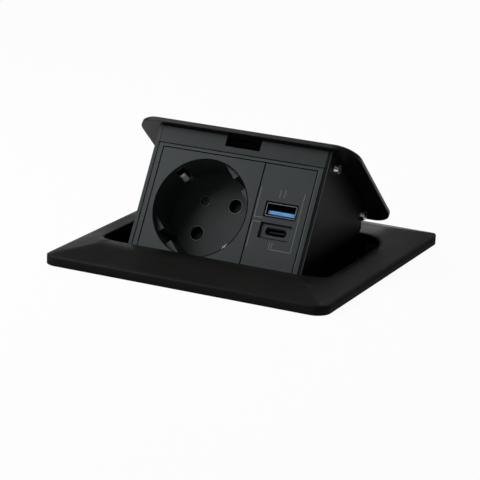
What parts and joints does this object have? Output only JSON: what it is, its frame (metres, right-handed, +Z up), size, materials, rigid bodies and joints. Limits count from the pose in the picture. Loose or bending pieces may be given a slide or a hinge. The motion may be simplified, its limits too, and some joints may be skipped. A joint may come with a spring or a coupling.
{
  "type": "floor box outlet",
  "caption": "Flip-up floor box outlet: a crowned frame and sunk box with a sprung tilting unit that carries an earthed socket and a USB charger under a rounded lid.",
  "frame": {"origin": "centre of the frame at floor level, where its rim rests on the floor", "axes": "+Z up out of the floor, -Y the side that the socket faces, +X to the right seen from that side"},
  "size_m": [0.12, 0.12, 0.1077],
  "materials": {
    "frame_plastic": "semi-gloss black, moulded",
    "lid_paint": "satin black powder coat on a 2 mm plate",
    "cheek_paint": "satin black powder coat on sheet",
    "bezel_plastic": "fine matt dark grey",
    "module_plastic": "fine matt dark grey, moulded",
    "box_steel": "galvanised pressed steel",
    "hinge_steel": "zinc-plated steel",
    "screw_steel": "nickel-plated steel",
    "spring_steel": "spring wire",
    "gland_plastic": "grey moulded",
    "seal_rubber": "soft black",
    "latch_steel": "zinc-plated",
    "latch_plastic": "black moulded",
    "earth_metal": "nickel-plated brass strip",
    "contact_brass": "bare brass",
    "shutter_plastic": "dark grey moulded",
    "port_steel": "nickel-plated shell",
    "tongue_blue": "blue moulded",
    "tongue_black": "black moulded",
    "pad_gold": "gold flash",
    "board_resin": "green solder mask",
    "board_dark": "dark sleeves and tape",
    "case_plastic": "dark moulded"
  },
  "bodies": {
    "base": {"surface_frame": "frame_plastic", "frame_gasket": "seal_rubber", "back_box": "box_steel", "box_screws": "screw_steel", "box_earth_screw": "contact_brass", "gland_body": "gland_plastic", "gland_seal": "seal_rubber", "gland_cap": "gland_plastic", "gland_locknut": "gland_plastic", "hinge_bracket_right": "hinge_steel", "hinge_bracket_left": "hinge_steel", "bracket_screws": "screw_steel", "hinge_shaft": "hinge_steel", "shaft_clips": "spring_steel", "hinge_washers": "hinge_steel", "flip_springs": "spring_steel"},
    "flip_unit": {"lid_plate": "lid_paint", "cheek_right": "cheek_paint", "cheek_left": "cheek_paint", "cheek_screws": "screw_steel", "tie_rod": "hinge_steel", "latch_strip": "lid_paint", "fascia_bezel": "bezel_plastic", "rear_cover": "cheek_paint", "cover_grommet": "seal_rubber", "latch_housing": "latch_plastic", "latch_spring": "spring_steel", "socket_face": "module_plastic", "earth_strip": "earth_metal", "socket_body": "case_plastic", "shutter_spring": "spring_steel", "live_contact": "contact_brass", "neutral_contact": "contact_brass", "terminal_screws": "screw_steel", "usb_face": "module_plastic", "usb_a_shell": "port_steel", "usb_a_tongue": "tongue_blue", "usb_a_contacts": "pad_gold", "usb_c_shell": "port_steel", "usb_c_tongue": "tongue_black", "charger_board": "board_resin", "board_parts": "board_dark", "charger_case": "case_plastic"},
    "bolt": {"latch_bolt": "latch_steel"},
    "shutter": {"pin_shutter": "shutter_plastic"}
  },
  "joints": [
    {"name": "unit_flip", "type": "hinge", "parent": "base", "child": "flip_unit", "pos_m": [0, 0.0383, -0.0104], "axis": [1, 0, 0], "range_deg": [0, 40.3], "stiffness_Nm_per_rad": 0.15, "springref_deg": -80.21, "deforming": ["flip_springs"]},
    {"name": "bolt_slide", "type": "slide", "parent": "flip_unit", "child": "bolt", "axis": [0, -0.7627, 0.6468], "range_m": [0, 0.0085], "stiffness_N_per_m": 60, "springref_m": -0.005},
    {"name": "shutter_turn", "type": "hinge", "parent": "flip_unit", "child": "shutter", "pos_m": [-0.01125, -0.00315, 0.01152], "axis": [0, 0.8755, -0.4833], "range_deg": [0, 48], "stiffness_Nm_per_rad": 0.0003, "springref_deg": -17.19}
  ]
}
